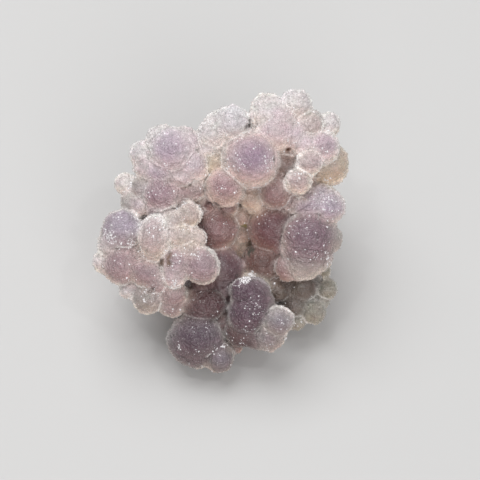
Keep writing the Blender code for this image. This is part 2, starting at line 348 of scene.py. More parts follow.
# The middle of the mass, from which every pole points away, and how far the pole of a ball of the
# display face is turned from there to the direction in which that face looks.
MASS_MIDDLE = Vector((0.5, 2.0, 8.5)) * MM
FACE_SHARE = 0.85

# How many places are measured at once, the least distance that is divided by, the width over which
# two balls' colours blend, and how soft the edge of a ball's middle colour is.
CHUNK = 8000
TINY = 1e-9
BLEND_WIDTH = 0.3 * MM
CORE_SOFTNESS = 0.4

# How little a place faces the pole where the rim starts to whiten and where it is whitest, how
# white it is there, and the white itself. The white is partly the frost's own and partly painted
# light that comes through a ball's thin rim.
RIM_POLES = (0.55, 0.2)
RIM_WHITENESS = 0.85
FROST_AND_RIM_LIGHT_WHITE = (0.80, 0.77, 0.75)

# A ball's far side is plainer: where that starts and is full, and what is left of its white there.
FAR_POLES = (-0.1, -0.6)
FAR_SHARE = 0.4

# Light that comes through a ball brightens its lower side: the cosines with the display face's
# upward direction where that starts and is full, and what it does to the colour.
LOW_SIDE = (0.1, -0.8)
LIT_LOW = (1.20, 1.07, 0.98)

# Warm and cool patches that drift over the whole: their size, and how far they change the colour.
# The seed of a noise moves it, so that no two of them match.
WARM_SIZE = 3.0 * MM
WARM_SHIFT = np.array((0.03, 0.0, -0.05))
WARM_SEED = 7.0

# Smaller flecks, pinker or greyer than what is round them.
FLECK_SIZE = 1.0 * MM
FLECK_SHIFT = np.array((0.02, -0.035, 0.01))
FLECK_SEED = 9.0

# Small spots of another colour, most of them dark: across, up and radius in millimetres on the
# display face, how deep they are pressed in, and their colour. The dark ones sit in pits, gaps and
# crevices between the balls, and their darkness is partly the stone's own colour and partly
# painted shade; the lighter brown and ochre ones are the stone's own colour.
SPOTS = (
    (3.65, 12.5, 0.5, 0.8, "33312e"),
    (3.3, 12.1, 0.35, 0.8, "33312e"),
    (8.0, 9.5, 0.4, 0.3, "5c3a28"),
    (0.0, 7.9, 0.25, 0.3, "4a3a2c"),
    (-1.4, 2.95, 0.4, 0.5, "3a2420"),
    (-0.8, 2.85, 0.5, 0.6, "3a2420"),
    (6.4, 8.2, 0.2, 0.2, "453a3a"),
    (-8.5, -7.2, 0.28, 0.5, "221c1c"),
    (-6.4, -3.0, 0.4, 0.3, "7d675c"),
    (-6.6, -3.8, 0.45, 0.3, "7d675c"),
    (-7.1, -3.75, 0.4, 0.0, "7d675c"),
    (0.8, -8.4, 0.35, 0.4, "43302f"),
    (2.8, 0.3, 0.55, 0.1, "a09164"),
    (3.1, -2.4, 0.6, 0.4, "5d5c55"),
)

# How soft a spot's rim is, how uneven, the size of that, and how many radii out it is looked for.
SPOT_SOFTNESS = 0.2 * MM
SPOT_UNEVENNESS = 0.6
SPOT_WAVES = 0.5 * MM
SPOT_MARGIN = 3.0

# The bright line along a ball's edge, partly frost and partly painted light that comes through
# the edge: how far from the crease it starts, is full, begins to fade and ends, and how far the
# ball must stand out over the next one for it to show and to be full.
# Places are told apart up to the reach on either side of the crease.
EDGE_STOPS = (-0.05 * MM, 0.05 * MM, 0.18 * MM, 0.45 * MM)
EDGE_LEADS = (0.1 * MM, 1.2 * MM)
EDGE_REACH = 1.0 * MM

# The upper of two balls also counts as standing out, by this much of its height over the lower.
UPPER_LEAD = 0.4

# A shallow crease has no line. The cosine between the outward directions of the two balls there
# says how deep it is: the first is shallow and the second deep. Nor has a crease that is filled up.
CREASE_COSINES = (0.45, -0.25)
EDGELESS_FILL = 1.2 * MM

# The line's colour, the white of frost and painted light, how much of it is left on a bare ball,
# the noise that breaks it up, and how white it is where it is broken and where it is whole. A
# noise of a material is its size and how many finer layers it has.
LIT_EDGE_WHITE = (0.93, 0.90, 0.88)
BARE_LINE = 0.2
EDGE_BREAK_NOISE = (0.3 * MM, 2.0)
EDGE_BREAKS = (0.3, 0.6)
LIT_EDGE_WHITENESS = (0.5, 0.95)

# The ball behind gets painted shade along the crease: where that starts, is full, begins to fade
# and ends, and how dark it is.
SHADE_STOPS = (-0.7 * MM, -0.25 * MM, -0.1 * MM, 0.0)
PAINTED_CREASE_SHADE = 0.3

# The faint wrinkles round a ball's pole: their spacing, how far out they are measured, the noise
# that bends them and by how much at most, in radians, and the patches where they are fainter.
RING_SPACING = 0.4 * MM
RING_REACH = 12.0 * MM
BEND_NOISE = (1.1 * MM, 2.0)
MOST_BEND = 22.0
FAINT_NOISE = (2.4 * MM, 1.0)
FAINT_RANGE = (0.4, 0.6)
FAINT_SHARES = (0.25, 1.0)
WRINKLE_SHADES = (0.93, 1.07)
WRINKLE_BUMP = 0.05 * MM
WRINKLE_BUMP_STRENGTH = 0.8

# The stone's own pattern: its specks, its mottling with the least and most shade, the range that
# such noises mostly lie in, and the size and the depth of the finest grains, which are bump alone.
SPECK_NOISE = (0.3 * MM, 1.0)
MOTTLE_NOISE = (0.75 * MM, 3.0)
MOTTLE_SHADES = (0.86, 1.12)
NOISE_RANGE = (0.3, 0.7)
BUMP_GRAIN_SIZE = 0.2 * MM
BUMP_GRAIN_DEPTH = 0.07 * MM

# The numbers of a Mix node's sockets for two colours and their mixture.
MIX_BASE = 6
MIX_OVER = 7
MIX_RESULT = 2

# The stone's constant values.
STONE_FINISH = {
    "Roughness": 0.35,
    "Subsurface Weight": 0.25,
    "Subsurface Radius": (1.0, 0.85, 0.85),
    "Subsurface Scale": 0.4 * MM,
    "Coat Weight": 0.2,
    "Coat Roughness": 0.12,
    "Sheen Weight": 0.15,
    "Sheen Roughness": 0.35,
}

# A crystal: the least and most height against its half width, how deep it is rooted against that,
# how far it leans and strays, and the lowest one's height over the cut.
CRYSTAL_HEIGHT_SHARES = (0.2, 0.6)
CRYSTAL_ROOT_SHARE = 0.5
CRYSTAL_LEAN = 0.3
CRYSTAL_STRAY = 0.05 * MM
LOWEST_CRYSTAL = 0.25 * MM

# The crust of fine crystals: its pieces, the crystals' half widths and shades, how thickly they lie
# everywhere, more on frost and more on an edge's line, and how white they are away from one.
CRUST_PIECES = 4
CRYSTALS_IN_PIECE = 32000
CRYSTAL_RADII = (0.09 * MM, 0.17 * MM)
CRYSTAL_SHADES = (0.75, 1.35)
CRUST_EVERYWHERE = 0.15
CRUST_ON_FROST = 0.6
CRUST_ON_LINES = 2.5
CRUST_WHITENESS = 0.2
CRUST_SEED = 11
CRUST_FINISH = {"Roughness": 0.15, "IOR": 1.54, "Alpha": 0.35}

# The glints, larger clear crystals whose white is partly their own and partly painted sparkle: how
# many there are, their half widths, with the power that keeps most of them small, their colour,
# the patches that they lie in, and how thickly they lie between the patches and where the stone
# is bare.
GLINTS = 9000
GLINT_RADII = (0.06 * MM, 0.24 * MM)
GLINT_SIZE_POWER = 3
PAINTED_GLINT_WHITE = (0.92, 0.90, 0.92)
GLINT_PATCH_SIZE = 1.7 * MM
GLINT_PATCH_RANGE = (0.2, 0.6)
GLINT_PATCH_SEED = 4.0
GLINTS_BETWEEN_PATCHES = 0.04
GLINTS_ON_BARE_STONE = 0.05
GLINT_SEED = 16
GLINT_FINISH = {"Roughness": 0.08, "IOR": 1.54, "Alpha": 0.9}

# Where large bright crystals stand close together: across, up and radius on the display face, and
# how close, against the thinly scattered ones.
GLINT_CLUSTERS = (
    (2.9, -5.7, 0.7, 10.0),
    (3.3, -5.3, 0.5, 9.0),
    (-5.5, -6.7, 0.6, 3.0),
    (-13.4, -0.8, 0.9, 2.5),
    (-10.6, -1.6, 0.6, 2.0),
    (-5.2, -14.1, 0.25, 5.0),
    (0.3, -13.6, 0.2, 5.0),
    (-7.8, -0.3, 1.1, 0.5),
    (13.1, 3.0, 1.2, 1.0),
    (9.3, 0.4, 1.3, 0.4),
    (2.0, 7.3, 0.9, 0.5),
    (5.6, 7.8, 1.0, 0.9),
    (-8.4, -7.9, 0.9, 0.35),
    (4.0, -9.5, 1.3, 0.35),
)


def from_face(across, up, out):
    """A place on the display face, in metres, as a point in the part's own frame."""
    sine = math.sin(FACE_TILT)
    cosine = math.cos(FACE_TILT)
    return Vector((across, up * sine - out * cosine, FACE_HEIGHT + up * cosine + out * sine))


def to_face(x, y, z):
    """The across, up and out of a point, in metres. Each of the three may be an array."""
    sine = math.sin(FACE_TILT)
    cosine = math.cos(FACE_TILT)
    height = z - FACE_HEIGHT
    return x, y * sine + height * cosine, height * sine - y * cosine


# The display face's outward and upward directions.
FACE_OUT = from_face(0.0, 0.0, 1.0) - from_face(0.0, 0.0, 0.0)
FACE_UP = from_face(0.0, 1.0, 0.0) - from_face(0.0, 0.0, 0.0)


def placed(rows):
    """The centre and the radius of the ball in each row, in metres."""
    return [
        (from_face(across * MM, up * MM, out * MM), radius * MM)
        for across, up, out, radius, *_ in rows
    ]


def random_direction(dice):
    return Vector([dice.gauss(0.0, 1.0) for _ in range(3)]).normalized()


def inside_outline(centre, radius, outline):
    """True where a ball stays inside the outline that the display face shows."""
    place = Vector(to_face(*centre))
    for step in range(OUTLINE_STEPS):
        angle = step * 2.0 * math.pi / OUTLINE_STEPS
        rim = Vector((place.x + radius * math.cos(angle), place.y + radius * math.sin(angle)))
        if not any((rim - middle).length < reach for middle, reach in outline):
            return False
    return True


def foot_share(point):
    """How far out a point lies in the oval foot: 0 in its middle and 1 on its surface."""
    place = point - FOOT_CENTRE
    return math.sqrt(sum((x / w) ** 2 for x, w in zip(place, FOOT_HALF_WIDTHS)))


def surface_places(dice, swellings):
    """Points all over the swellings and the foot, each with its outward direction."""
    for _ in range(TRIES_ON_SWELLING):
        for centre, radius in swellings:
            direction = random_direction(dice)
            yield centre + direction * radius, direction
        direction = random_direction(dice)
        half_widths = [w * d for w, d in zip(FOOT_HALF_WIDTHS, direction)]
        yield FOOT_CENTRE + Vector(half_widths), direction


def is_buried(point, swellings):
    """True where a point lies inside the foot or a swelling."""
    if foot_share(point) < BURIED_SHARE:
        return True
    return any((point - centre).length < BURIED_SHARE * radius for centre, radius in swellings)


def suits_cut(centre, radius):
    """True where a ball is clear of the cut, or is cut off well inside."""
    return centre.z > radius + LEAST_CLEARANCE or centre.z < LEAST_CUT_SHARE * radius


def rule_balls(face_balls, swellings):
    """Balls over the sides and the back, each one clear enough of those before it."""
    dice = random.Random(RULE_SEED)
    outline = [(Vector(to_face(*c)).to_2d(), r) for c, r in face_balls + swellings]
    taken = list(face_balls)
    for least, most in RULE_RADII:
        for point, direction in surface_places(dice, swellings):
            radius = dice.uniform(least, most)
            centre = point - direction * radius * SINK_SHARE
            if direction.dot(FACE_OUT) > MOST_FACING or not suits_cut(centre, radius):
                continue
            if is_buried(point, swellings) or not inside_outline(centre, radius, outline):
                continue
            if all((centre - c).length > SPACING_SHARE * (radius + r) for c, r in taken):
                taken.append((centre, radius))
    return taken[len(face_balls):]


def ruled_tints(ruled):
    """Tints that drift over the sides and the back, and turn to rock near the cut."""
    dice = random.Random(TINT_SEED)
    names = []
    for centre, _ in ruled:
        drift = noise.noise(centre / TINT_PATCH_SIZE) * TINT_DRIFT + dice.gauss(0.0, TINT_SCATTER)
        place = min(len(RULED_TINTS) - 1, int(abs(drift) * TINT_STEPS))
        names.append("rock" if centre.z < ROCK_HEIGHT else RULED_TINTS[place])
    return names


def linear_colour(code):
    """A colour written as six hexadecimal digits, as linear light by the sRGB rule."""
    parts = [int(code[n:n + 2], 16) / 255.0 for n in (0, 2, 4)]
    return [p / 12.92 if p <= 0.04045 else ((p + 0.055) / 1.055) ** 2.4 for p in parts]


class Balls:
    """Every ball as arrays: centres, radii, the directions of their poles, fillings and tints."""

    def __init__(self):
        face = placed(FACE_BALLS)
        self.swellings = placed(MASS_SWELLINGS)
        ruled = rule_balls(face, self.swellings)
        self.centres = np.array([c[:] for c, _ in face + ruled])
        self.radii = np.array([r for _, r in face + ruled])
        self.outward = pole_directions(self.centres, len(face))
        fills = [fill for rows, fill in FACE_GROUPS for _ in rows]
        self.fill = np.array(fills + [RULED_FILL] * len(ruled))

        tints = [TINTS[name] for name in [row[4] for row in FACE_BALLS] + ruled_tints(ruled)]
        self.core = np.array([linear_colour(tint.core) for tint in tints])
        self.rim = np.array([linear_colour(tint.rim) for tint in tints])
        self.frost = np.array([tint.frost for tint in tints])
        self.half_pole = np.array([tint.half_pole for tint in tints])
        self.wrinkle = np.array([tint.wrinkle for tint in tints])

    def solids(self):
        """Centres and half widths of everything that is fused."""
        balls = [(c, np.full(3, r)) for c, r in zip(self.centres, self.radii)]
        balls += [(np.array(c), np.full(3, r)) for c, r in self.swellings]
        return balls + [(np.array(FOOT_CENTRE), np.array(FOOT_HALF_WIDTHS))]


def pole_directions(centres, on_face):
    """The direction of each ball's pole. The first ones, on the display face, look out of it."""
    away = centres - np.array(MASS_MIDDLE)
    away /= np.linalg.norm(away, axis=1, keepdims=True)
    facing = np.zeros((len(centres), 1))
    facing[:on_face] = FACE_SHARE
    outward = away * (1.0 - facing) + np.array(FACE_OUT) * facing
    return outward / np.linalg.norm(outward, axis=1, keepdims=True)


def unit_ball():
    """The corners and the triangles of a ball of radius 1."""
    shape = bmesh.new()
    bmesh.ops.create_icosphere(shape, subdivisions=BALL_DETAIL, radius=1.0)
    corners = np.array([corner.co[:] for corner in shape.verts])
    triangles = np.array([[corner.index for corner in face.verts] for face in shape.faces])
    shape.free()
    return corners, triangles


def overlapping_balls(balls):
    """A mesh of every ball, given as centre and half widths, still passing through each other."""
    corners, triangles = unit_ball()
    all_corners = np.concatenate([corners * widths + centre for centre, widths in balls])
    all_triangles = np.concatenate([triangles + n * len(corners) for n in range(len(balls))])
    return new_mesh("balls", all_corners, all_triangles)


def new_mesh(name, corners, triangles):
    """A mesh of triangles, filled in one go."""
    data = bpy.data.meshes.new(name)
    data.vertices.add(len(corners))
    data.vertices.foreach_set("co", np.asarray(corners, dtype=np.float32).ravel())
    data.loops.add(triangles.size)
    data.loops.foreach_set("vertex_index", triangles.astype(np.int32).ravel())
    data.polygons.add(len(triangles))
    data.polygons.foreach_set("loop_start", np.arange(0, triangles.size, 3, dtype=np.int32))
    data.update(calc_edges=True)
    data.validate()
    return data


def fused_mesh(solids):
    """One closed surface round all the balls, on the fine grid."""
    rough = bpy.data.objects.new("rough", overlapping_balls(solids))
    bpy.context.scene.collection.objects.link(rough)
    remesh = rough.modifiers.new("fuse_balls", "REMESH")
    remesh.mode = "VOXEL"
    remesh.voxel_size = GRID
    bpy.context.view_layer.update()
    evaluated = rough.evaluated_get(bpy.context.evaluated_depsgraph_get())
    fused = bpy.data.meshes.new_from_object(evaluated)
    bpy.data.objects.remove(rough)
    return fused


def corner_places(mesh):
    places = np.empty(len(mesh.vertices) * 3)
    mesh.vertices.foreach_get("co", places)
    return places.reshape(-1, 3)


def corner_normals(mesh):
    normals = np.empty(len(mesh.vertices) * 3)
    mesh.vertex_normals.foreach_get("vector", normals)
    return normals.reshape(-1, 3)


def noise_at(places, size, seed=0.0):
    """Smooth noise from -1 to 1 at each place, with swells of the given size."""
    shift = Vector((seed, 2.0 * seed, 3.0 * seed))
    return np.array([noise.noise(Vector(p) + shift) for p in places / size])


def cells_at(places, size):
    """The distance to the nearest of scattered points, in units of the size, at each place."""
    return np.array([noise.voronoi(Vector(p))[0][0] for p in places / size])


def smooth_step(low, high, values):
    """0 up to the low value and 1 from the high one, with a smooth rise. They may be swapped."""
    share = np.clip((values - low) / (high - low), 0.0, 1.0)
    return share * share * (3.0 - 2.0 * share)


def ridge(stops, values):
    """1 between the middle two of four stops and 0 outside the other two."""
    return smooth_step(stops[0], stops[1], values) * smooth_step(stops[3], stops[2], values)


def surface_place(places, across, up):
    """The outermost place of the display face that lies at across and up, in metres."""
    sideways, upwards, out = to_face(*places.T)
    near = np.hypot(sideways - across, upwards - up) < GRID
    return places[np.where(near, out, -np.inf).argmax()]


def find_spots(places):
    """Each spot's place on the surface, its radius, its depth and its colour."""
    found = []
    for across, up, radius, depth, code in SPOTS:
        middle = surface_place(places, across * MM, up * MM)
        found.append((middle, radius * MM, depth * MM, np.array(linear_colour(code))))
    return found


def spot_share(places, middle, radius):
    """1 inside an uneven round spot and 0 away from it."""
    reach = np.linalg.norm(places - middle, axis=1)
    close = reach < SPOT_MARGIN * radius
    share = np.zeros(len(places))
    bent = reach[close] * (1.0 + SPOT_UNEVENNESS * noise_at(places[close], SPOT_WAVES))
    share[close] = smooth_step(radius + SPOT_SOFTNESS, radius - SPOT_SOFTNESS, bent)
    return share


class Surface:
    """What the balls and the spots make of each place.

    Its ring is how far it is from a pole, and its edge how far from a crease. Its lead says how far
    one of the two balls there stands out over the other, and its fill how full the crease is.
    """

    def __init__(self, balls, spots, places):
        chunks = [measured(balls, places[n:n + CHUNK]) for n in range(0, len(places), CHUNK)]
        whole = {name: np.concatenate([chunk[name] for chunk in chunks]) for name in chunks[0]}
        self.colours = whole["colours"]
        self.frosts = whole["frosts"]
        self.grains = whole["grains"]
        self.wrinkles = whole["wrinkles"]
        self.rings = whole["rings"]
        self.edges = whole["edges"]
        self.leads = whole["leads"]
        self.fills = whole["fills"]
        self.colours *= 1.0 + noise_at(places, WARM_SIZE, WARM_SEED)[:, None] * WARM_SHIFT
        self.colours *= 1.0 + noise_at(places, FLECK_SIZE, FLECK_SEED)[:, None] * FLECK_SHIFT
        self.spotted = np.zeros(len(places))
        # A dark spot's colour is partly painted shade in its pit, gap or crevice.
        for middle, radius, _, colour in spots:
            share = spot_share(places, middle, radius)
            self.colours = self.colours * (1.0 - share[:, None]) + colour * share[:, None]
            self.spotted = np.maximum(self.spotted, share)
        self.leads *= 1.0 - self.spotted
        self.frosts *= 1.0 - self.spotted

    def lines(self):
        """1 on the thin bright line along a ball's edge, partly frost and partly painted light, and 0
        away from it.
        """
        frosted = BARE_LINE + (1.0 - BARE_LINE) * self.frosts
        return ridge(EDGE_STOPS, self.edges) * self.leads * frosted


def measured(balls, places):
    """What a Surface holds, without its patches and spots, for one chunk of places.

    The arrays in it have a row for each place and a column for each ball. Depth is the distance
    from a ball's surface, and nearness is the ball's share in the place.
    """
    offsets = places[:, None, :] - balls.centres[None]
    reach = np.maximum(np.linalg.norm(offsets, axis=2), TINY)
    depth = reach - balls.radii
    beyond = depth - depth.min(axis=1, keepdims=True)
    nearness = np.exp(-beyond / BLEND_WIDTH)
    nearness /= nearness.sum(axis=1, keepdims=True)
    pole = np.einsum("ijk,jk->ij", offsets, balls.outward) / reach
    upwards = np.einsum("ijk,k->ij", offsets, np.array(FACE_UP)) / reach
    near_side = 1.0 - (1.0 - FAR_SHARE) * smooth_step(*FAR_POLES, pole)
    tinted = tinted_colours(balls, pole, upwards, near_side)
    grain = GRAIN_AT_POLE + (1.0 - GRAIN_AT_POLE) * smooth_step(*GRAIN_POLES, pole)

    fill = nearness @ balls.fill
    edges, leads, deep = edge_places(balls, depth)
    leads = leads * deep * np.clip(1.0 - fill / EDGELESS_FILL, 0.0, 1.0)
    # Painted shade on the ball behind, along the crease.
    shade = 1.0 - PAINTED_CREASE_SHADE * ridge(SHADE_STOPS, edges) * leads
    fills = fill * np.log(np.exp(-beyond / fill[:, None]).sum(axis=1))
    return {
        "colours": np.einsum("ij,ijk->ik", nearness, tinted) * shade[:, None],
        "frosts": (nearness * balls.frost).sum(axis=1),
        "grains": (nearness * balls.frost * near_side * grain).sum(axis=1),
        "wrinkles": nearness @ balls.wrinkle,
        "rings": ring_places(balls, depth, pole),
        "edges": edges,
        "leads": leads,
        "fills": fills * (1.0 - (1.0 - DEEP_CREASE_FILL) * deep),
    }


def tinted_colours(balls, pole, upwards, near_side):
    """The colour that each ball would give to each place, with painted light on its rim and its lower
    side.
    """
    core = smooth_step(-CORE_SOFTNESS, CORE_SOFTNESS, pole - balls.half_pole)[..., None]
    # Painted light: the rim whitens as it turns from the pole, partly frost and partly light through
    # the thin rim.
    white = (smooth_step(*RIM_POLES, pole) * near_side * balls.frost * RIM_WHITENESS)[..., None]
    low = smooth_step(*LOW_SIDE, upwards)[..., None]
    mixed = balls.rim * (1.0 - core) + balls.core * core
    mixed = mixed * (1.0 - white) + np.array(FROST_AND_RIM_LIGHT_WHITE) * white
    return mixed * (1.0 - low + low * np.array(LIT_LOW))


def ring_places(balls, depth, pole):
    """How far each place is from the pole of its nearest ball, measured along that ball."""
    nearest = depth.argmin(axis=1)
    facing = pole[np.arange(len(nearest)), nearest]
    return np.arccos(np.clip(facing, -1.0, 1.0)) * balls.radii[nearest]


def edge_places(balls, depth):
    """How far each place is from the crease between its two nearest balls, below 0 on the one behind.

    With it come how far one ball stands out over the other, and how deep the crease is.
    """
    order = np.argpartition(depth, 1, axis=1)[:, :2]
    rows = np.arange(len(depth))
    swap = depth[rows, order[:, 0]] > depth[rows, order[:, 1]]
    first = np.where(swap, order[:, 1], order[:, 0])
    second = np.where(swap, order[:, 0], order[:, 1])
    gap = np.minimum(depth[rows, second] - depth[rows, first], EDGE_REACH)
    apart = balls.centres[first] - balls.centres[second]
    leaning = 0.5 * (balls.outward[first] + balls.outward[second]) + UPPER_LEAD * np.array(FACE_UP)
    lead = np.einsum("ij,ij->i", apart, leaning) + balls.radii[first] - balls.radii[second]
    leads = smooth_step(*EDGE_LEADS, np.abs(lead))
    return gap * np.sign(lead), leads, crease_depths(balls, first, second)


def crease_depths(balls, first, second):
    """0 for two balls that meet in a shallow crease, and 1 for two that meet in a deep one."""
    near = balls.radii[first]
    far = balls.radii[second]
    apart = np.linalg.norm(balls.centres[first] - balls.centres[second], axis=1)
    cosines = (near ** 2 + far ** 2 - apart ** 2) / (2.0 * near * far)
    return smooth_step(*CREASE_COSINES, cosines)


def roughen(mesh, surface, spots):
    """Fills the creases and pushes the surface in and out by swells, lobes and grains.

    It also presses the pits straight back from the display face.
    """
    places = corner_places(mesh)
    height = noise_at(places, SWELL_SIZE) * SWELL_HEIGHT
    height += (CELL_MIDDLE - cells_at(places, LOBE_SIZE)) * LOBE_HEIGHT
    grains = (CELL_MIDDLE - cells_at(places, GRAIN_SIZE)) * GRAIN_HEIGHT
    height += grains * (BARE_GRAIN + surface.grains)
    height += surface.fills
    pits = np.zeros(len(places))
    for middle, radius, depth, _ in spots:
        pits = np.maximum(pits, spot_share(places, middle, radius) * depth)
    moved = places + corner_normals(mesh) * height[:, None] - np.array(FACE_OUT) * pits[:, None]
    mesh.vertices.foreach_set("co", moved.astype(np.float32).ravel())
    mesh.update()


def cut_flat(mesh):
    """Takes off what lies below the cut and closes the base with a flat face."""
    shape = bmesh.new()
    shape.from_mesh(mesh)
    everything = shape.verts[:] + shape.edges[:] + shape.faces[:]
    bmesh.ops.bisect_plane(
        shape, geom=everything, plane_co=(0, 0, 0), plane_no=(0, 0, -1), clear_outer=True
    )
    open_edges = [edge for edge in shape.edges if edge.is_boundary]
    filled = bmesh.ops.holes_fill(shape, edges=open_edges, sides=0)
    bmesh.ops.triangulate(shape, faces=filled["faces"])
    shape.to_mesh(mesh)
    shape.free()


def paint(mesh, name, colours):
    """Stores three numbers for each corner, which the material reads by name."""
    layer = mesh.attributes.new(name, "FLOAT_COLOR", "POINT")
    values = np.ones((len(colours), 4), dtype=np.float32)
    values[:, :3] = np.clip(colours, 0.0, 1.0)
    layer.data.foreach_set("color", values.ravel())


def packed(edge):
    """A distance from the crease as it is stored: 0.5 in it, and 0 and 1 at the reach beside it."""
    return 0.5 + 0.5 * edge / EDGE_REACH


def paint_body(mesh, surface):
    """The body's colours, and what its material draws the edges and the wrinkles with."""
    paint(mesh, "tint", surface.colours)
    crust = (packed(surface.edges), surface.leads, surface.frosts)
    paint(mesh, "crust", np.stack(crust, axis=1))
    rings = (surface.rings / RING_REACH, surface.wrinkles, surface.grains)
    paint(mesh, "rings", np.stack(rings, axis=1))


def add_piece(name, mesh, material):
    piece = bpy.data.objects.new(name, mesh)
    mesh.materials.clear()
    mesh.materials.append(material)
    bpy.context.scene.collection.objects.link(piece)
    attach(piece, "root")
    return piece


class Ground:
    """The faces of the body, on which the crystals grow."""

    def __init__(self, balls, spots, mesh):
        count = len(mesh.polygons)
        middles = np.empty(count * 3)
        mesh.polygons.foreach_get("center", middles)
        outs = np.empty(count * 3)
        mesh.polygons.foreach_get("normal", outs)
        self.areas = np.empty(count)
        mesh.polygons.foreach_get("area", self.areas)
        self.middles = middles.reshape(-1, 3)
        self.outs = outs.reshape(-1, 3)
        self.surface = Surface(balls, spots, self.middles)

    def rooted(self, dice, weights, count):
        """Places and outward directions of crystals, by weight, off the spots and the cut."""
        weights = weights * (1.0 - self.surface.spotted)
        weights[self.middles[:, 2] < LOWEST_CRYSTAL] = 0.0
        chosen = dice.choice(len(weights), count, p=weights / weights.sum())
        places = self.middles[chosen] + dice.normal(0.0, CRYSTAL_STRAY, (count, 3))
        return places, self.outs[chosen]


def crystal_mesh(name, places, outs, radii, dice):
    """Three-sided crystal tips, each a small closed solid rooted in the surface."""
    count = len(places)
    axis = outs + dice.normal(0.0, CRYSTAL_LEAN, (count, 3))
    axis /= np.linalg.norm(axis, axis=1, keepdims=True)
    side = np.cross(axis, dice.normal(0.0, 1.0, (count, 3)))
    side /= np.linalg.norm(side, axis=1, keepdims=True)
    other = np.cross(axis, side)
    root = places - axis * (radii * CRYSTAL_ROOT_SHARE)[:, None]
    corners = np.empty((count, 4, 3))
    for n in range(3):
        angle = n * 2.0 * math.pi / 3.0
        corners[:, n] = root + (side * math.cos(angle) + other * math.sin(angle)) * radii[:, None]
    tall = radii * dice.uniform(*CRYSTAL_HEIGHT_SHARES, count)
    corners[:, 3] = places + axis * tall[:, None]
    triangles = np.array(((0, 1, 3), (1, 2, 3), (2, 0, 3), (2, 1, 0)))
    all_triangles = triangles[None] + 4 * np.arange(count)[:, None, None]
    return new_mesh(name, corners.reshape(-1, 3), all_triangles.reshape(-1, 3))


def add_crystals(name, mesh, colours, material):
    """A piece of crystals. They throw no shadow on each other, which would turn the crust grey."""
    corners_in_crystal = len(mesh.vertices) // len(colours)
    paint(mesh, "tint", np.repeat(colours, corners_in_crystal, axis=0))
    piece = add_piece(name, mesh, material)
    piece.visible_shadow = False
    piece.visible_diffuse = False


def add_crust(balls, spots, ground):
    """Fine crystals all over the body, thickest along the edges of the balls, in several pieces."""
    dice = np.random.default_rng(CRUST_SEED)
    material = crystal_material("crystal_crust", CRUST_FINISH)
    surface = ground.surface
    density = CRUST_EVERYWHERE + CRUST_ON_FROST * surface.frosts + CRUST_ON_LINES * surface.lines()
    for n in range(CRUST_PIECES):
        places, outs = ground.rooted(dice, ground.areas * density, CRYSTALS_IN_PIECE)
        stone = Surface(balls, spots, places)
        # Crystals on an edge's line take its white: partly frost, partly painted light.
        white = CRUST_WHITENESS + (1.0 - CRUST_WHITENESS) * stone.lines()
        white = np.clip(white, 0.0, 1.0)[:, None]
        shade = dice.uniform(*CRYSTAL_SHADES, (len(places), 1))
        colours = (stone.colours * (1.0 - white) + np.array(LIT_EDGE_WHITE) * white) * shade
        radii = dice.uniform(*CRYSTAL_RADII, len(places))
        name = f"crust_{n}"
        add_crystals(name, crystal_mesh(name, places, outs, radii, dice), colours, material)


def add_glints(ground):
    """Larger clear crystals, white partly of their own and partly as painted sparkle, scattered in
    patches and close together in clusters.
    """
    dice = np.random.default_rng(GLINT_SEED)
    patches = noise_at(ground.middles, GLINT_PATCH_SIZE, GLINT_PATCH_SEED)
    density = GLINTS_BETWEEN_PATCHES + smooth_step(*GLINT_PATCH_RANGE, patches)
    weights = ground.areas * density * (GLINTS_ON_BARE_STONE + ground.surface.frosts)
    for across, up, radius, strength in GLINT_CLUSTERS:
        middle = surface_place(ground.middles, across * MM, up * MM)
        weights += ground.areas * strength * spot_share(ground.middles, middle, radius * MM)
    places, outs = ground.rooted(dice, weights, GLINTS)
    sizes = dice.uniform(0.0, 1.0, GLINTS) ** GLINT_SIZE_POWER
    radii = GLINT_RADII[0] * (1.0 - sizes) + GLINT_RADII[1] * sizes
    mesh = crystal_mesh("glints", places, outs, radii, dice)
    # Painted sparkle: every glint is the same white.
    colours = np.tile(PAINTED_GLINT_WHITE, (GLINTS, 1))
    add_crystals("glints", mesh, colours, crystal_material("crystal_glints", GLINT_FINISH))


def new_material(name, finish):
    """A material with the given constant values, with its nodes and its shader."""
    material = bpy.data.materials.new(name)
    material.use_nodes = True
    shader = material.node_tree.nodes["Principled BSDF"]
    for socket, value in finish.items():
        shader.inputs[socket].default_value = value
    return material, material.node_tree, shader


def stored_values(tree, name):
    """What is painted on a mesh under a name, as a colour."""
    node = tree.nodes.new("ShaderNodeAttribute")
    node.attribute_name = name
    return node.outputs["Color"]


def stored_parts(tree, name):
    """The three numbers that are painted on a mesh under a name."""
    parts = tree.nodes.new("ShaderNodeSeparateColor")
    tree.links.new(stored_values(tree, name), parts.inputs["Color"])
    return parts.outputs["Red"], parts.outputs["Green"], parts.outputs["Blue"]


def noise_node(tree, coords, size, detail):
    node = tree.nodes.new("ShaderNodeTexNoise")
    node.inputs["Scale"].default_value = 1.0 / size
    node.inputs["Detail"].default_value = detail
    tree.links.new(coords, node.inputs["Vector"])
    return node.outputs["Fac"]


def ranged(tree, value, before, after):
    """The value, stretched from one range to another and kept inside it."""
    node = tree.nodes.new("ShaderNodeMapRange")
    tree.links.new(value, node.inputs["Value"])
    node.inputs["From Min"].default_value = before[0]
    node.inputs["From Max"].default_value = before[1]
    node.inputs["To Min"].default_value = after[0]
    node.inputs["To Max"].default_value = after[1]
    return node.outputs["Result"]


def combined(tree, operation, first, second):
    node = tree.nodes.new("ShaderNodeMath")
    node.operation = operation
    tree.links.new(first, node.inputs[0])
    tree.links.new(second, node.inputs[1])
    return node.outputs["Value"]


def product(tree, first, *others):
    for other in others:
        first = combined(tree, "MULTIPLY", first, other)
    return first


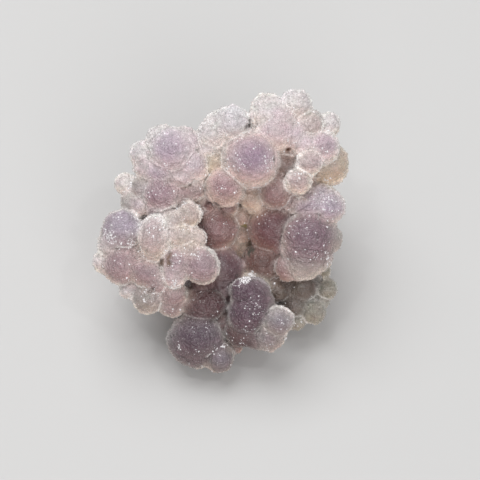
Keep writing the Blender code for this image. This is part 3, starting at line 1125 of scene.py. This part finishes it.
def lit_edge_line(tree):
    """The bright line along a ball's edge, partly frost and partly painted light, from the numbers
    stored on the body.
    """
    edge, lead, frost = stored_parts(tree, "crust")
    stops = [packed(stop) for stop in EDGE_STOPS]
    rise = ranged(tree, edge, stops[:2], (0.0, 1.0))
    fall = ranged(tree, edge, stops[2:], (1.0, 0.0))
    frosted = ranged(tree, frost, (0.0, 1.0), (BARE_LINE, 1.0))
    return product(tree, rise, fall, lead, frosted)


def wrinkles_and_grain(tree, coords):
    """Waves round each ball's pole, at most from -1 to 1, bent by noise, and how grainy a place is."""
    ring, strength, grain = stored_parts(tree, "rings")
    turns = ranged(tree, ring, (0.0, 1.0), (0.0, 2.0 * math.pi * RING_REACH / RING_SPACING))
    bend = ranged(tree, noise_node(tree, coords, *BEND_NOISE), (0.0, 1.0), (0.0, MOST_BEND))
    faint = ranged(tree, noise_node(tree, coords, *FAINT_NOISE), FAINT_RANGE, FAINT_SHARES)
    wave = tree.nodes.new("ShaderNodeMath")
    wave.operation = "SINE"
    tree.links.new(combined(tree, "ADD", turns, bend), wave.inputs[0])
    return product(tree, wave.outputs["Value"], faint, strength), grain


def stone_shades(tree, coords, wrinkle, grain):
    """How much lighter or darker each place is than its tint, round 1."""
    speck = ranged(tree, noise_node(tree, coords, *SPECK_NOISE), NOISE_RANGE, (-1.0, 1.0))
    specks = ranged(tree, product(tree, speck, grain), (-1.0, 1.0), (1.0 - SPECKLE, 1.0 + SPECKLE))
    mottle = ranged(tree, noise_node(tree, coords, *MOTTLE_NOISE), NOISE_RANGE, MOTTLE_SHADES)
    wrinkled = ranged(tree, wrinkle, (-1.0, 1.0), WRINKLE_SHADES)
    return product(tree, specks, mottle, wrinkled)


def stone_colour(tree, coords, shades):
    """The painted tints in their shades, with the bright lines of frost and painted edge light over
    them.
    """
    shaded = tree.nodes.new("ShaderNodeHueSaturation")
    tree.links.new(shades, shaded.inputs["Value"])
    tree.links.new(stored_values(tree, "tint"), shaded.inputs["Color"])
    breaks = ranged(tree, noise_node(tree, coords, *EDGE_BREAK_NOISE), EDGE_BREAKS, LIT_EDGE_WHITENESS)
    lined = tree.nodes.new("ShaderNodeMix")
    lined.data_type = "RGBA"
    tree.links.new(product(tree, lit_edge_line(tree), breaks), lined.inputs["Factor"])
    tree.links.new(shaded.outputs["Color"], lined.inputs[MIX_BASE])
    lined.inputs[MIX_OVER].default_value = (*LIT_EDGE_WHITE, 1.0)
    return lined.outputs[MIX_RESULT]


def bump_node(tree, height, distance, strength):
    node = tree.nodes.new("ShaderNodeBump")
    node.inputs["Strength"].default_value = strength
    node.inputs["Distance"].default_value = distance
    tree.links.new(height, node.inputs["Height"])
    return node


def stone_normal(tree, coords, wrinkle):
    """Fine raised grains, with the wrinkles over them."""
    cells = tree.nodes.new("ShaderNodeTexVoronoi")
    cells.inputs["Scale"].default_value = 1.0 / BUMP_GRAIN_SIZE
    tree.links.new(coords, cells.inputs["Vector"])
    grains = bump_node(tree, cells.outputs["Distance"], BUMP_GRAIN_DEPTH, 1.0)
    grains.invert = True
    waves = bump_node(tree, wrinkle, WRINKLE_BUMP, WRINKLE_BUMP_STRENGTH)
    tree.links.new(grains.outputs["Normal"], waves.inputs["Normal"])
    return waves.outputs["Normal"]


def chalcedony_material():
    """Translucent violet stone with a sugary surface."""
    material, tree, shader = new_material("chalcedony", STONE_FINISH)
    coords = tree.nodes.new("ShaderNodeTexCoord").outputs["Object"]
    wrinkle, grain = wrinkles_and_grain(tree, coords)
    shades = stone_shades(tree, coords, wrinkle, grain)
    tree.links.new(stone_colour(tree, coords, shades), shader.inputs["Base Color"])
    tree.links.new(stone_normal(tree, coords, wrinkle), shader.inputs["Normal"])
    return material


def crystal_material(name, finish):
    """Small bright crystals that let some of the stone under them show."""
    material, tree, shader = new_material(name, finish)
    tree.links.new(stored_values(tree, "tint"), shader.inputs["Base Color"])
    return material


def add_floor():
    bpy.ops.mesh.primitive_plane_add(size=FLOOR_SIDE, location=(0.0, 0.0, 0.0))
    floor = bpy.context.object
    floor.name = "floor"
    material, _, _ = new_material("pale_floor", FLOOR_FINISH)
    floor.data.materials.append(material)


def add_area_light(name, place, width, watts):
    data = bpy.data.lights.new(name, "AREA")
    data.shape = "SQUARE"
    data.size = width
    data.energy = watts
    light = bpy.data.objects.new(name, data)
    light.location = place
    light.rotation_euler = (Vector(LIGHT_AIM) - Vector(place)).to_track_quat("-Z", "Y").to_euler()
    bpy.context.scene.collection.objects.link(light)


def add_lights():
    """A large soft light behind and above, a weaker one in front, and pale surroundings.

    The crystals sparkle in two small ones.
    """
    for row in LIGHTS:
        add_area_light(*row)
    world = bpy.data.worlds.new("surroundings")
    bpy.context.scene.world = world
    world.use_nodes = True
    background = world.node_tree.nodes["Background"]
    background.inputs["Color"].default_value = SURROUNDINGS_COLOUR
    background.inputs["Strength"].default_value = SURROUNDINGS_STRENGTH


def add_camera():
    data = bpy.data.cameras.new("camera")
    data.sensor_width = SENSOR_WIDTH
    data.lens = SENSOR_WIDTH * CAMERA_DISTANCE / FRAME_WIDTH
    data.clip_start = CLIP_START
    camera = bpy.data.objects.new("camera", data)
    camera.location = from_face(*AIM_ON_FACE) + FACE_OUT * CAMERA_DISTANCE
    camera.rotation_euler = (math.pi / 2.0 - FACE_TILT, 0.0, 0.0)
    bpy.context.scene.collection.objects.link(camera)
    bpy.context.scene.camera = camera


def add_cluster():
    """The body, which stands for the solid, and the crystals on it."""
    balls = Balls()
    mesh = fused_mesh(balls.solids())
    spots = find_spots(corner_places(mesh))
    roughen(mesh, Surface(balls, spots, corner_places(mesh)), spots)
    cut_flat(mesh)
    paint_body(mesh, Surface(balls, spots, corner_places(mesh)))
    body = add_piece("chalcedony", mesh, chalcedony_material())
    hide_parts(NODE)
    ground = Ground(balls, spots, mesh)
    add_crust(balls, spots, ground)
    add_glints(ground)


def main():
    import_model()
    bpy.context.scene.view_settings.view_transform = "Standard"
    add_camera()
    add_lights()
    add_floor()
    add_cluster()


main()
